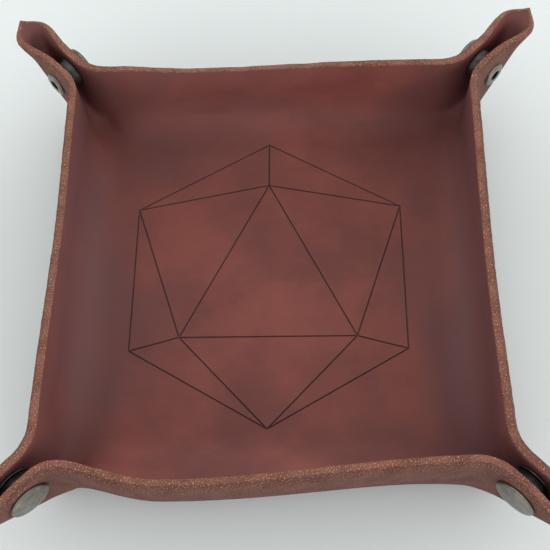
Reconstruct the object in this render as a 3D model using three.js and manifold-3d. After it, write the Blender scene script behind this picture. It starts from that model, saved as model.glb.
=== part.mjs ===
// Dice tray folded from one square hide of thick leather. Each corner is pinched into two layers, the ears,
// which a metal ring snap holds together. Millimetres, +Z up, front towards -Y, origin on the ground under the
// middle of the tray.
import * as THREE from "three";
import { mergeVertices } from "three/addons/utils/BufferGeometryUtils.js";
import Module from "manifold-3d";

// Hide
const HIDE_THICKNESS = 4;
const FLOOR_HALF = 81; // middle of the tray to the fold line under a wall
const WALL_HEIGHT = 36.5; // fold line to cut edge, measured along the hide at the corners
const RIM_SAG = 6; // how much hollower the cut edge is between the corners
const BEND_WIDTH = 14; // width of hide that takes part in a bend
const PANEL_GAP = 0.3; // between panels of the hide, along a fold

// Pinched corners, measured along the hide: past the fold line's end and up from the fold line
const LAYER_GAP = 5; // between the two grain faces, where the snap sits
const TIP_OPENING = 15; // how wide the middles of the two layers spread towards the tip
const LEAF_START = 33; // from the foot of the corner fold to where the layers begin to spread
const EAR_FOOT = 4; // height at which the ears begin, above the little hole that relieves the corner
const FOLD_EASE = 1.2; // how far the round bottom of the pinch eases into its sides, in half widths
const FOLD_BEVEL = 4.8; // bevel that lets the pinch open flat, measured across the flesh side
const SNAP_PAST = 5.5;
const SNAP_UP = 26.5;

// Ring snap
const CAP_RADIUS = 7.5;
const CAP_DOME = 2.2;
const CAP_RIM = 0.7;
const BARREL_RADIUS = 1.9;
const CLINCH_RADIUS = 2.9;
const CLINCH_THICKNESS = 0.5;
const SOCKET_RADIUS = 6.5;
const SOCKET_FLOOR = 0.8;
const SOCKET_LIP = 0.6; // thickness of the lip that keeps the spring in
const STUD_RADIUS = 6.2;
const STUD_BASE = 0.8;
const NUB_RADIUS = 2.9; // widest part, half way up
const NUB_NECK = 2.5;
const SPRING_WIRE = 0.8; // diameter
const SPRING_OPENING = 2.4; // gap in the ring, which lets it give way
const POST_RADIUS = 5;
const POST_FLANGE = 1.1;
const POST_BORE = 1.2; // radius of the hole that shows
const SEAT_GAP = 0.3; // between a metal piece and what it seats on

// Engraved figure: an icosahedron seen face on
const FIGURE_RADIUS = 63;
const FIGURE_PLACE = [-2.4, 2];
const INNER_TOP = 42.5;
const INNER_BASE = -26;
const INNER_HALF = 35;
const LINE_WIDTH = 0.8;
const LINE_DEPTH = 0.5;

// Fineness
const WALL_COLUMNS = 18;
const WALL_ROWS = 6;
const ROW_CROWDING = 1.4; // more than one puts the rows of a wall closer together near the floor
const EAR_COLUMNS = 10;
const EAR_ROWS = 8;
const BEND_STEPS = 5;
const DOME_STEPS = 4;
const WIRE_SIDES = 6;
const ROUND_SIDES = 16;
const SETTLE_STEPS = 40; // for a line that is found by repeating a step
const SLOPE_STEP = 0.01; // between the points that a slope is taken from

// Finish
const LEATHER = { color: 0x74443c, roughness: 0.6, metalness: 0 };
const NICKEL = { color: 0x74746c, roughness: 0.38, metalness: 1 };
const SPRING_STEEL = { color: 0x9a9a98, roughness: 0.3, metalness: 1 };

// Each wall is shaped with its outside towards +Y and then turned into place. Between the corners it flares
// outwards by so much at the rim, most of all at the peak, which is measured along the wall.
const WALLS = {
  back: { turn: 0, flare: 4.5, peak: -33 },
  left: { turn: Math.PI / 2, flare: 1.5, peak: 14 },
  front: { turn: Math.PI, flare: 9, peak: 38 },
  right: { turn: -Math.PI / 2, flare: 0, peak: 8 },
};
const PLAIN_WALL = { flare: 0, peak: 0 };

// At each corner a cap ear of the front or back wall meets a post ear of the left or right wall. A side is the
// end of a wall, seen in that wall's own frame.
const CORNERS = [
  { name: "back_right", x: 1, y: 1, capWall: WALLS.back, capSide: 1, postWall: WALLS.right, postSide: -1 },
  { name: "back_left", x: -1, y: 1, capWall: WALLS.back, capSide: -1, postWall: WALLS.left, postSide: 1 },
  { name: "front_left", x: -1, y: -1, capWall: WALLS.front, capSide: 1, postWall: WALLS.left, postSide: -1 },
  { name: "front_right", x: 1, y: -1, capWall: WALLS.front, capSide: -1, postWall: WALLS.right, postSide: 1 },
];

const wasm = await Module();
wasm.setup();

function facingOut(geometry) {
  const points = geometry.getAttribute("position");
  const index = geometry.index.array;
  const [a, b, c] = [new THREE.Vector3(), new THREE.Vector3(), new THREE.Vector3()];
  let volume = 0;
  for (let i = 0; i < index.length; i += 3) {
    a.fromBufferAttribute(points, index[i]);
    b.fromBufferAttribute(points, index[i + 1]);
    c.fromBufferAttribute(points, index[i + 2]);
    volume += a.dot(b.cross(c));
  }
  if (volume < 0) geometry.setIndex(Array.from(index).reverse());
  return geometry;
}

function toSolid(geometry) {
  const bare = geometry.clone().deleteAttribute("normal").deleteAttribute("uv");
  const merged = facingOut(mergeVertices(bare, 1e-4));
  return new wasm.Manifold(
    new wasm.Mesh({
      numProp: 3,
      vertProperties: new Float32Array(merged.getAttribute("position").array),
      triVerts: new Uint32Array(merged.index.array),
    }),
  );
}

function toGeometry(solid) {
  const mesh = solid.getMesh();
  const geometry = new THREE.BufferGeometry();
  geometry.setAttribute("position", new THREE.BufferAttribute(mesh.vertProperties, mesh.numProp));
  geometry.setIndex(new THREE.BufferAttribute(mesh.triVerts, 1));
  return geometry;
}

function named(name, geometry, finish) {
  const mesh = new THREE.Mesh(geometry, new THREE.MeshStandardMaterial(finish));
  mesh.name = name;
  return mesh;
}

// The shape of the hide

// Zero below a bend, the length itself above it, and a round bend between.
function softRamp(length) {
  const half = BEND_WIDTH / 2;
  const share = THREE.MathUtils.clamp(length / half, -1, 1);
  return length > half ? length : (half * (share + 1) ** 2) / 4;
}

function softStep(length) {
  return THREE.MathUtils.clamp(length / BEND_WIDTH + 0.5, 0, 1);
}

// Half the distance between the middles of the two layers of a pinch, along its fold.
function pinchHalf(along) {
  const closed = (LAYER_GAP + HIDE_THICKNESS) / 2;
  const open = THREE.MathUtils.smoothstep(along, LEAF_START, Math.SQRT2 * WALL_HEIGHT);
  return THREE.MathUtils.lerp(closed, TIP_OPENING / 2, open);
}

// One at the wall's peak, falling to zero at its two ends.
function betweenCorners(s, wall) {
  const reach = FLOOR_HALF - Math.sign(s - wall.peak) * wall.peak;
  const share = Math.min(Math.abs(s - wall.peak) / reach, 1);
  return Math.cos((share * Math.PI) / 2) ** 2;
}

function rimHeight(s, wall) {
  return WALL_HEIGHT - RIM_SAG * betweenCorners(s, wall);
}

function spreadAt(past, h) {
  const half = pinchHalf((h + past) / Math.SQRT2);
  return half * Math.tanh(Math.max(h - past, 0) / Math.SQRT2 / half);
}

// Middle of the hide, where s is measured along a wall from its middle and h up the hide from the fold line.
function hidePoint(s, h, wall) {
  const side = s < 0 ? -1 : 1;
  const past = side * s - FLOOR_HALF;
  const along = (h + past) / Math.SQRT2;
  const off = Math.max(h - past, 0) / Math.SQRT2;
  const spread = spreadAt(past, h);
  const turned = past + Math.SQRT2 * spread;
  const ear = softRamp(turned);
  const up = softRamp(h);
  const ease = softStep(along / Math.SQRT2) * off * Math.exp(-off / (FOLD_EASE * pinchHalf(along)));
  const outward = (ear + (1 - Math.SQRT1_2) * ease) / Math.SQRT2;
  const flare = wall.flare * betweenCorners(s, wall) * (up / WALL_HEIGHT) ** 2;
  return new THREE.Vector3(
    side * (FLOOR_HALF + past - ear + outward),
    FLOOR_HALF + h - up + outward + flare,
    HIDE_THICKNESS / 2 + up - ease / Math.SQRT2,
  );
}

// Towards the grain side.
function hideNormal(s, h, wall) {
  const side = s < 0 ? -1 : 1;
  const here = hidePoint(s, h, wall);
  const inner = hidePoint(s - side * SLOPE_STEP, h, wall);
  const alongWall = here.clone().sub(inner).multiplyScalar(side);
  const upWall = hidePoint(s, h + SLOPE_STEP, wall).sub(here);
  return alongWall.cross(upWall).normalize();
}

function hideSkin(s, h, wall, skin) {
  return hidePoint(s, h, wall).addScaledVector(hideNormal(s, h, wall), (skin * HIDE_THICKNESS) / 2);
}

// Where a wall turns into an ear, past the end of the fold line.
function turnLine(h) {
  let past = 0;
  for (let step = 0; step < SETTLE_STEPS; step++) past = -Math.SQRT2 * spreadAt(past, h);
  return past;
}

const GRAIN_SIDE = 1;
const FLESH_SIDE = -1;

// A closed panel between a grain skin and a flesh skin. place gives a point for a share across and up.
function panel(columns, rows, place) {
  const points = [];
  for (const skin of [GRAIN_SIDE, FLESH_SIDE])
    for (let row = 0; row <= rows; row++)
      for (let column = 0; column <= columns; column++)
        points.push(...place(column / columns, row / rows, skin).toArray());
  const width = columns + 1;
  const skinSize = width * (rows + 1);
  const index = [];
  const quad = (a, b, c, d) => index.push(a, b, c, a, c, d);
  for (let row = 0; row < rows; row++)
    for (let column = 0; column < columns; column++) {
      const corner = row * width + column;
      quad(corner, corner + 1, corner + width + 1, corner + width);
      quad(skinSize + corner, skinSize + corner + width, skinSize + corner + width + 1, skinSize + corner + 1);
    }
  const edge = [];
  for (let column = 0; column < columns; column++) edge.push(column);
  for (let row = 0; row < rows; row++) edge.push(row * width + columns);
  for (let column = columns; column > 0; column--) edge.push(rows * width + column);
  for (let row = rows; row > 0; row--) edge.push(row * width);
  edge.forEach((corner, i) => {
    const next = edge[(i + 1) % edge.length];
    quad(next, corner, skinSize + corner, skinSize + next);
  });
  const geometry = new THREE.BufferGeometry();
  geometry.setAttribute("position", new THREE.Float32BufferAttribute(points, 3));
  geometry.setIndex(index);
  return facingOut(geometry);
}

// Closer stations at both ends, where the hide bends.
const crowdEnds = (share) => (1 - Math.cos(share * Math.PI)) / 2;

function wallPanel(wall) {
  return panel(WALL_COLUMNS, WALL_ROWS, (across, up, skin) => {
    const nominal = Math.max(up * WALL_HEIGHT, EAR_FOOT);
    const end = FLOOR_HALF + turnLine(nominal) - PANEL_GAP / 2;
    const s = THREE.MathUtils.lerp(-end, end, crowdEnds(across));
    const h = THREE.MathUtils.lerp(PANEL_GAP / 2, rimHeight(s, wall), up ** ROW_CROWDING);
    return hideSkin(s, h, wall, skin);
  });
}

function earPanel(wall, side) {
  return panel(EAR_COLUMNS, EAR_ROWS, (across, up, skin) => {
    const h = THREE.MathUtils.lerp(EAR_FOOT, WALL_HEIGHT, up);
    const fromFold = skin === GRAIN_SIDE ? PANEL_GAP / 2 : FOLD_BEVEL;
    const near = turnLine(h) + PANEL_GAP / 2;
    const past = THREE.MathUtils.lerp(near, h - fromFold, crowdEnds(across));
    return hideSkin(side * (FLOOR_HALF + past), h, wall, skin);
  });
}

// The floor ends half way round the bend under each wall, and its top is flat.
function floorPanel() {
  const bendReach = BEND_WIDTH / 2 + Math.SQRT2 * pinchHalf(0);
  const ends = [];
  for (let step = BEND_STEPS; step >= 0; step--)
    ends.push(FLOOR_HALF - PANEL_GAP / 2 - (step / BEND_STEPS) * bendReach);
  const line = [...ends.map((x) => -x).reverse(), ...ends];
  const cells = line.length - 1;
  const dish = panel(cells, cells, (across, up, skin) => {
    const x = line[Math.round(across * cells)];
    const y = line[Math.round(up * cells)];
    const backOrFront = Math.abs(y) >= Math.abs(x);
    const [s, outTo] = backOrFront ? [x, y] : [y, x];
    const point = hideSkin(s, Math.abs(outTo) - FLOOR_HALF, PLAIN_WALL, skin);
    const out = Math.sign(outTo) * point.y;
    const z = Math.min(point.z, HIDE_THICKNESS);
    return backOrFront ? new THREE.Vector3(point.x, out, z) : new THREE.Vector3(out, point.x, z);
  });
  return toSolid(dish).subtract(figureCut());
}

// The engraved figure

function prism(corners, bottom, top) {
  const geometry = new THREE.ExtrudeGeometry(new THREE.Shape(corners), { depth: top - bottom, bevelEnabled: false });
  geometry.translate(FIGURE_PLACE[0], FIGURE_PLACE[1], bottom);
  return toSolid(geometry);
}

// The corners of a triangle after each of its sides has moved inwards.
function inset(corners, distance) {
  const [a, b, c] = corners;
  const sides = [b.distanceTo(c), c.distanceTo(a), a.distanceTo(b)];
  const around = sides[0] + sides[1] + sides[2];
  const centre = new THREE.Vector2();
  corners.forEach((corner, i) => centre.addScaledVector(corner, sides[i] / around));
  const area = Math.abs(b.clone().sub(a).cross(c.clone().sub(a))) / 2;
  const share = (distance * around) / 2 / area;
  return corners.map((corner) => corner.clone().lerp(centre, share));
}

function figureFaces(outer) {
  const inner = [
    new THREE.Vector2(0, INNER_TOP),
    new THREE.Vector2(INNER_HALF, INNER_BASE),
    new THREE.Vector2(-INNER_HALF, INNER_BASE),
  ];
  const faces = [inner];
  inner.forEach((corner, i) => {
    const [before, ahead, after] = [(2 * i + 5) % 6, 2 * i, 2 * i + 1];
    faces.push([corner, outer[before], outer[ahead]]);
    faces.push([corner, outer[ahead], outer[after]]);
    faces.push([corner, outer[after], inner[(i + 1) % 3]]);
  });
  return faces;
}

// The lines are what is left of the whole figure between its faces.
function figureCut() {
  const outer = [];
  for (let corner = 0; corner < 6; corner++) {
    const angle = Math.PI / 2 - (corner * Math.PI) / 3;
    outer.push(new THREE.Vector2(Math.cos(angle), Math.sin(angle)).multiplyScalar(FIGURE_RADIUS));
  }
  const grown = 1 + LINE_WIDTH / 2 / (FIGURE_RADIUS * Math.cos(Math.PI / 6));
  const outline = outer.map((corner) => corner.clone().multiplyScalar(grown));
  const whole = prism(outline, HIDE_THICKNESS - LINE_DEPTH, HIDE_THICKNESS + LINE_DEPTH);
  return figureFaces(outer).reduce(
    (lines, face) => lines.subtract(prism(inset(face, LINE_WIDTH / 2), 0, 2 * HIDE_THICKNESS)),
    whole,
  );
}

// Ring snaps, shaped round the Y axis with the cap towards +Y and the middle of the pinch at zero

const FACE = LAYER_GAP / 2; // grain face of either ear
const OUTSIDE = FACE + HIDE_THICKNESS; // flesh face of either ear
const SOCKET_BACK = FACE - SEAT_GAP;
const STUD_BACK = FACE - SEAT_GAP;
const STUD_FRONT = STUD_BACK - STUD_BASE;
const SOCKET_FRONT = STUD_FRONT - SEAT_GAP;
const CLINCH_SEAT = SOCKET_BACK - SOCKET_FLOOR - SEAT_GAP;
const CLINCH_END = CLINCH_SEAT - CLINCH_THICKNESS;
const NUB_TOP = CLINCH_END - SEAT_GAP;
const NUB_MIDDLE = (NUB_TOP - STUD_FRONT) / 2;
const SPRING_RADIUS = NUB_RADIUS + SEAT_GAP + SPRING_WIRE / 2;

function lathed(profile) {
  return new THREE.LatheGeometry(profile.map(([radius, y]) => new THREE.Vector2(radius, y)), ROUND_SIDES);
}

function capShape() {
  const seat = OUTSIDE + SEAT_GAP;
  const profile = [
    [0, CLINCH_END],
    [CLINCH_RADIUS, CLINCH_END],
    [CLINCH_RADIUS, CLINCH_SEAT],
    [BARREL_RADIUS, CLINCH_SEAT],
    [BARREL_RADIUS, seat],
    [CAP_RADIUS, seat],
  ];
  for (let step = 0; step <= DOME_STEPS; step++) {
    const angle = (step / DOME_STEPS) * (Math.PI / 2);
    const radius = step === DOME_STEPS ? 0 : CAP_RADIUS * Math.cos(angle);
    profile.push([radius, seat + CAP_RIM + CAP_DOME * Math.sin(angle)]);
  }
  return lathed(profile);
}

function socketShape() {
  const inside = SOCKET_BACK - SOCKET_FLOOR;
  const hole = BARREL_RADIUS + SEAT_GAP;
  const room = SPRING_RADIUS + SPRING_WIRE / 2 + SEAT_GAP;
  const mouth = NUB_RADIUS + 2 * SEAT_GAP;
  return lathed([
    [hole, SOCKET_BACK],
    [hole, inside],
    [room, inside],
    [room, -SOCKET_FRONT + SOCKET_LIP],
    [mouth, -SOCKET_FRONT + SOCKET_LIP],
    [mouth, -SOCKET_FRONT],
    [SOCKET_RADIUS - SOCKET_LIP, -SOCKET_FRONT],
    [SOCKET_RADIUS, inside],
    [SOCKET_RADIUS, SOCKET_BACK],
    [hole, SOCKET_BACK],
  ]);
}

function springShape() {
  const wire = SPRING_WIRE / 2;
  const height = -SOCKET_FRONT + SOCKET_LIP + wire + SEAT_GAP;
  const section = [];
  for (let side = 0; side <= WIRE_SIDES; side++) {
    const angle = (side / WIRE_SIDES) * 2 * Math.PI;
    section.push([SPRING_RADIUS + wire * Math.cos(angle), height + wire * Math.sin(angle)]);
  }
  const opening = new THREE.BoxGeometry(2 * SPRING_RADIUS, 2 * SPRING_WIRE, SPRING_OPENING);
  opening.translate(SPRING_RADIUS, height, 0);
  return toGeometry(toSolid(lathed(section)).subtract(toSolid(opening)));
}

function studShape() {
  const bore = BARREL_RADIUS + SEAT_GAP;
  return lathed([
    [0, NUB_MIDDLE],
    [bore, NUB_MIDDLE],
    [bore, -STUD_BACK],
    [STUD_RADIUS, -STUD_BACK],
    [STUD_RADIUS, -STUD_FRONT],
    [NUB_NECK, -STUD_FRONT],
    [NUB_RADIUS, NUB_MIDDLE],
    [NUB_NECK, NUB_TOP],
    [0, NUB_TOP],
  ]);
}

function postShape() {
  const seat = -OUTSIDE - SEAT_GAP;
  const end = NUB_MIDDLE - SEAT_GAP;
  return lathed([
    [POST_BORE, end],
    [POST_BORE, seat - POST_FLANGE / 2],
    [POST_BORE + POST_FLANGE / 2, seat - POST_FLANGE],
    [POST_RADIUS - POST_FLANGE / 2, seat - POST_FLANGE],
    [POST_RADIUS, seat - POST_FLANGE / 2],
    [POST_RADIUS, seat],
    [BARREL_RADIUS, seat],
    [BARREL_RADIUS, end],
    [POST_BORE, end],
  ]);
}

// The middle of a snap, in the frame of a wall whose end is the corner.
function snapCentre() {
  const ear = hidePoint(FLOOR_HALF + SNAP_PAST, SNAP_UP, PLAIN_WALL);
  const middle = (ear.x + ear.y) / 2;
  return new THREE.Vector3(middle, middle, ear.z);
}

// The hole for a snap's barrel, through an ear at one end of a wall.
function snapHole(side) {
  const centre = snapCentre();
  const hole = new THREE.CylinderGeometry(
    BARREL_RADIUS + SEAT_GAP,
    BARREL_RADIUS + SEAT_GAP,
    4 * OUTSIDE,
    ROUND_SIDES,
  );
  hole.rotateZ((side * Math.PI) / 4);
  hole.translate(side * centre.x, centre.y, centre.z);
  return toSolid(hole);
}

function ear(name, wall, side) {
  const leather = toSolid(earPanel(wall, side)).subtract(snapHole(side));
  const mesh = named(name, toGeometry(leather), LEATHER);
  mesh.rotation.z = wall.turn;
  return mesh;
}

function snap(corner) {
  const group = new THREE.Group();
  group.position.copy(snapCentre()).multiply(new THREE.Vector3(corner.x, corner.y, 1));
  const towardsCap = new THREE.Vector3(-corner.x, corner.y, 0).normalize();
  group.quaternion.setFromUnitVectors(new THREE.Vector3(0, 1, 0), towardsCap);
  group.add(
    named(`cap_${corner.name}`, capShape(), NICKEL),
    named(`socket_${corner.name}`, socketShape(), NICKEL),
    named(`spring_${corner.name}`, springShape(), SPRING_STEEL),
    named(`stud_${corner.name}`, studShape(), NICKEL),
    named(`post_${corner.name}`, postShape(), NICKEL),
  );
  return group;
}

const tray = new THREE.Group();
tray.add(named("floor", toGeometry(floorPanel()), LEATHER));
for (const [name, wall] of Object.entries(WALLS)) {
  const mesh = named(`wall_${name}`, wallPanel(wall), LEATHER);
  mesh.rotation.z = wall.turn;
  tray.add(mesh);
}
for (const corner of CORNERS)
  tray.add(
    ear(`cap_ear_${corner.name}`, corner.capWall, corner.capSide),
    ear(`post_ear_${corner.name}`, corner.postWall, corner.postSide),
    snap(corner),
  );

export default tray;
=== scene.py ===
# %% [markdown]
# # A leather dice tray with snapped corners
#
# The tray is one thick square of leather. Its four sides are turned up, each corner is pinched into two
# layers, and a ring snap holds each pinch. The imported part gives exact but plain solids. This lesson
# dresses them: every solid is replaced by a finer piece in the same place, and the floor and the metal
# pieces hang on the bodies they belong to.

# %% Load the imported part
import math
from collections import namedtuple

import bmesh
import bpy
import numpy as np
from mathutils import Matrix, Vector, noise
from mathutils.geometry import delaunay_2d_cdt


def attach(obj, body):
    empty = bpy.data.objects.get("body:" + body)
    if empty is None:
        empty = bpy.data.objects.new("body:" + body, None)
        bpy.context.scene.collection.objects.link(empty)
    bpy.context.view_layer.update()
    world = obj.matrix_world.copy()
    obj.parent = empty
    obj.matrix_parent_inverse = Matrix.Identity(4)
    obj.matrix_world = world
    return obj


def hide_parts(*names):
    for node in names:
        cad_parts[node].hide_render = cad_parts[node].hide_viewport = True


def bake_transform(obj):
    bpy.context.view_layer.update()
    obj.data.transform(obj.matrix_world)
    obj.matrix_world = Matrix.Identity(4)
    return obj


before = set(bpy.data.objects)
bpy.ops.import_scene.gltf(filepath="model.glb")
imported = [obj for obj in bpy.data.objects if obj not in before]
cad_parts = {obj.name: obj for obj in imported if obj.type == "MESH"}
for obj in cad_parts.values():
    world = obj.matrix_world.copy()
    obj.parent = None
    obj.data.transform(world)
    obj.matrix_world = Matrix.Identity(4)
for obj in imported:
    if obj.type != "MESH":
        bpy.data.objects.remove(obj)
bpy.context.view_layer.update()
MM = 0.001

# %% [markdown]
# ## The camera
#
# The tray is seen from above its front wall, close enough that the front looks wider than the back. The
# camera could be placed by eye. Here it is set by its angles, because the same few numbers then give its
# position and its three axes. The lens follows from the width of the picture in units of the distance.

# %% Camera
VIEW_HEIGHT = math.radians(64.84)
VIEW_TURN = math.radians(-5.38)
VIEW_ROLL = math.radians(-5.65)
VIEW_DISTANCE = 362.9
VIEW_TARGET = Vector((0.2, 3.5, 2.0))
FOCAL_WIDTHS = 1.6236  # focal length in picture widths
SENSOR_WIDTH = 36

towards_eye = Vector((
    -math.sin(VIEW_TURN) * math.cos(VIEW_HEIGHT),
    -math.cos(VIEW_TURN) * math.cos(VIEW_HEIGHT),
    math.sin(VIEW_HEIGHT),
))
level_right = Vector((math.cos(VIEW_TURN), -math.sin(VIEW_TURN), 0))
level_up = towards_eye.cross(level_right)
eye_right = math.cos(VIEW_ROLL) * level_right + math.sin(VIEW_ROLL) * level_up
eye_up = math.cos(VIEW_ROLL) * level_up - math.sin(VIEW_ROLL) * level_right

camera = bpy.data.objects.new("camera", bpy.data.cameras.new("camera"))
bpy.context.scene.collection.objects.link(camera)
camera.data.sensor_width = SENSOR_WIDTH
camera.data.lens = SENSOR_WIDTH * FOCAL_WIDTHS
camera.data.clip_start = 0.01
camera.matrix_world = Matrix((eye_right, eye_up, towards_eye)).transposed().to_4x4()
camera.location = (VIEW_TARGET + VIEW_DISTANCE * towards_eye) * MM
bpy.context.scene.camera = camera
print("camera at", [round(x, 3) for x in camera.location], "lens", round(camera.data.lens, 1), "mm")

# %% [markdown]
# ## Small helpers for shader nodes
#
# Every finish below is a handful of nodes. Adding a node, setting its inputs and linking it is three
# lines each time, so one helper does all of it: an input that is a socket is linked, and any other input
# is a plain value.

# %% Node helpers
def linear(red, green, blue):
    """A colour written as it looks on a screen, from 0 to 255, in the linear numbers that shaders use."""
    shares = [channel / 255 for channel in (red, green, blue)]
    return [x / 12.92 if x <= 0.04045 else ((x + 0.055) / 1.055) ** 2.4 for x in shares] + [1]


def add_node(tree, kind, inputs=None, **settings):
    node = tree.nodes.new(kind)
    for name, value in settings.items():
        setattr(node, name, value)
    for name, value in (inputs or {}).items():
        if isinstance(value, bpy.types.NodeSocket):
            tree.links.new(value, node.inputs[name])
        else:
            node.inputs[name].default_value = value
    return node


def mix_colours(tree, share, first, second):
    FACTOR, FIRST, SECOND, COLOUR = 0, 6, 7, 2
    node = add_node(tree, "ShaderNodeMix", {FACTOR: share, FIRST: first, SECOND: second}, data_type="RGBA")
    return node.outputs[COLOUR]


def calculate(tree, operation, first, second):
    return add_node(tree, "ShaderNodeMath", {0: first, 1: second}, operation=operation).outputs[0]


def spread_between(tree, value, low, high, to_low=0.0, to_high=1.0):
    inputs = {"Value": value, "From Min": low, "From Max": high, "To Min": to_low, "To Max": to_high}
    return add_node(tree, "ShaderNodeMapRange", inputs, interpolation_type="SMOOTHSTEP").outputs["Result"]


def noise_pattern(tree, place, scale, detail, roughness=0.5, distortion=0.0):
    look = {"Scale": scale, "Detail": detail, "Roughness": roughness, "Distortion": distortion}
    return add_node(tree, "ShaderNodeTexNoise", {"Vector": place, **look}).outputs["Fac"]


def change_place(tree, operation, place, by):
    return add_node(tree, "ShaderNodeVectorMath", {0: place, 1: by}, operation=operation).outputs[0]


def new_group(name, inputs, outputs):
    """A shader node group that puts out numbers, and its own input and output nodes."""
    group = bpy.data.node_groups.new(name, "ShaderNodeTree")
    for socket, kind in inputs.items():
        group.interface.new_socket(socket, in_out="INPUT", socket_type=f"NodeSocket{kind}")
    for socket in outputs:
        group.interface.new_socket(socket, in_out="OUTPUT", socket_type="NodeSocketFloat")
    return group, group.nodes.new("NodeGroupInput"), group.nodes.new("NodeGroupOutput")


def new_material(name):
    material = bpy.data.materials.new(name)
    material.use_nodes = True
    tree = material.node_tree
    return material, tree, tree.nodes["Principled BSDF"]


def use_group(tree, group, inputs):
    return add_node(tree, "ShaderNodeGroup", inputs, node_tree=group).outputs


def bump(tree, height, depth_mm):
    inputs = {"Height": height, "Strength": 1.0, "Distance": depth_mm * MM}
    return add_node(tree, "ShaderNodeBump", inputs).outputs["Normal"]


print("sample colour", [round(x, 3) for x in linear(117, 69, 66)])

# %% [markdown]
# ## Table
#
# The tray stands on a plain pale table. A backdrop could be curved up behind it. A table that reaches far
# past the picture needs none, and looks the same from every side. Its tone wanders very slightly, as that
# of a real top does.

# %% Table
TABLE_HALF = 30.0


def make_table():
    mesh = bpy.data.meshes.new("table")
    corners = [(x * TABLE_HALF, y * TABLE_HALF, 0) for x, y in ((-1, -1), (1, -1), (1, 1), (-1, 1))]
    mesh.from_pydata(corners, [], [(0, 1, 2, 3)])
    table = bpy.data.objects.new("table", mesh)
    bpy.context.scene.collection.objects.link(table)
    material, tree, shader = new_material("pale_table")
    place = add_node(tree, "ShaderNodeTexCoord").outputs["Object"]
    cloud = noise_pattern(tree, place, scale=4.0, detail=2.0)
    colour = mix_colours(tree, cloud, linear(198, 203, 202), linear(204, 208, 207))
    tree.links.new(colour, shader.inputs["Base Color"])
    shader.inputs["Roughness"].default_value = 0.85
    shader.inputs["Specular IOR Level"].default_value = 0.2
    mesh.materials.append(material)


make_table()
print("table:", 2 * TABLE_HALF, "m across")

# %% [markdown]
# ## Light
#
# The light is very soft. It could come from a ring of lamps. A sky with a bright band low down all round
# does the same without their glare on the table: it reaches the insides of the walls as well as the
# floor. It is a little stronger from the right and the back, and one wide lamp overhead shapes the
# leather. Together they are about as bright as a colour is written, so most colours need not make up for
# the light. The darker nickel in the pinches, the posts' eyes and the pared edge carry painted shade, and
# the outer hide carries a painted grey sheen. To the camera and in reflections the sky is as plain and
# pale as the table.

# %% Light
BAND_RISE = (0.1, 0.25)  # height, as the sine of its angle, at which the bright band begins and is full
BAND_FALL = (0.3, 0.6)  # and at which it fades and is gone


def make_sky(overhead, around, from_right, from_back):
    """Even light from overhead, and a bright band round the sides that can be stronger on one side."""
    world = bpy.data.worlds.new("soft_sky")
    world.use_nodes = True
    tree = world.node_tree
    tree.nodes.clear()
    direction = add_node(tree, "ShaderNodeTexCoord").outputs["Generated"]
    parts = add_node(tree, "ShaderNodeSeparateXYZ", {"Vector": direction}).outputs
    below = spread_between(tree, parts["Z"], *BAND_RISE)
    band = calculate(tree, "MULTIPLY", below, spread_between(tree, parts["Z"], *BAND_FALL, 1.0, 0.0))
    sides = calculate(tree, "ADD", calculate(tree, "MULTIPLY", parts["X"], from_right), around)
    sides = calculate(tree, "ADD", calculate(tree, "MULTIPLY", parts["Y"], from_back), sides)
    strength = calculate(tree, "ADD", calculate(tree, "MULTIPLY", band, sides), overhead)
    light_path = add_node(tree, "ShaderNodeLightPath").outputs
    seen = calculate(tree, "ADD", light_path["Is Camera Ray"], light_path["Is Glossy Ray"])
    seen = calculate(tree, "ADD", seen, light_path["Is Transmission Ray"])
    strength = spread_between(tree, seen, 0.0, 1.0, strength, 1.0)
    sky = add_node(tree, "ShaderNodeBackground", {"Color": linear(236, 238, 238), "Strength": strength})
    output = add_node(tree, "ShaderNodeOutputWorld")
    tree.links.new(sky.outputs["Background"], output.inputs["Surface"])
    bpy.context.scene.world = world


def make_lamp(name, place, size, power):
    lamp = bpy.data.objects.new(name, bpy.data.lights.new(name, "AREA"))
    lamp.data.size = size
    lamp.data.energy = power
    lamp.location = place
    lamp.rotation_euler = Vector(place).to_track_quat("Z", "Y").to_euler()
    bpy.context.scene.collection.objects.link(lamp)


bpy.context.scene.view_settings.view_transform = "Standard"
make_sky(overhead=0.8, around=4.75, from_right=1.1, from_back=1.0)
make_lamp("overhead_light", place=(0.05, 0.2, 1.3), size=1.4, power=2.5)

# %% [markdown]
# ## What the leather's finishes share
#
# All faces of the hide come from one skin, so they share their patterns. The dye has taken unevenly,
# which shows as soft clouds with faint rubbed streaks, and as duller patches. Towards the outside of the
# hide the patches are made stronger, duller and darker. That part is a painted grey sheen on the walls
# and corners, not dye. The skin itself has pores and fine creases. Such a pattern could be painted on an
# image. A node group of noises needs no image, never repeats, and is built once and used by each leather
# finish with its own values. The patterns follow the flat hide as it was cut, which is kept as a map on
# each piece, so they run on across the folds.

# %% Dye and skin pattern
STREAKS = 0.15  # how much of the clouds is streaks
# Painted grey sheen: the hide is made duller and darker towards its outside.
SHEEN_OUTWARDS = 0.22  # how much duller the hide is far from its middle
PEBBLES = 0.35  # how much the pores add to the creases


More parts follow.
